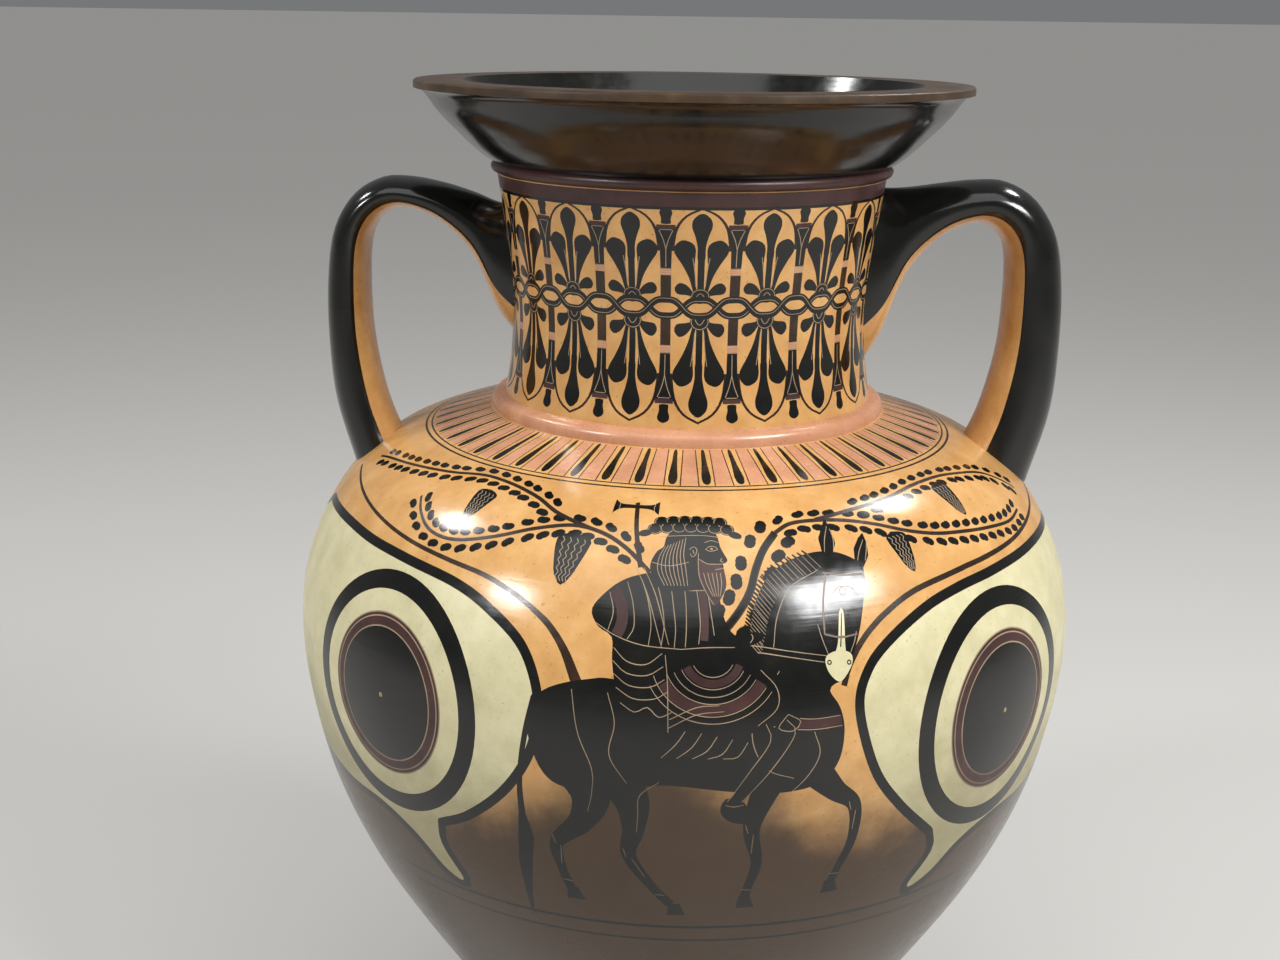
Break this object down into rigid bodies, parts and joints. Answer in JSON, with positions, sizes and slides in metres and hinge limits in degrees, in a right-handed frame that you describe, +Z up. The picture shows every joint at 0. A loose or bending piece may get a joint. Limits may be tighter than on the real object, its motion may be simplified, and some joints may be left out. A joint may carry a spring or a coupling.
{
  "type": "neck amphora",
  "caption": "Black-figure neck amphora of fired orange clay with a flat-rimmed lip, raised neck ring, large painted eyes and two strap handles from neck to shoulder.",
  "frame": {"origin": "centre of the foot's underside", "axes": "+Z up along the turned axis, X through both handles, -Y towards the painted front"},
  "size_m": [0.2768, 0.2768, 0.412],
  "materials": {
    "painted_clay": "satin"
  },
  "bodies": {
    "root": {"neck_amphora": "painted_clay"}
  },
  "joints": []
}
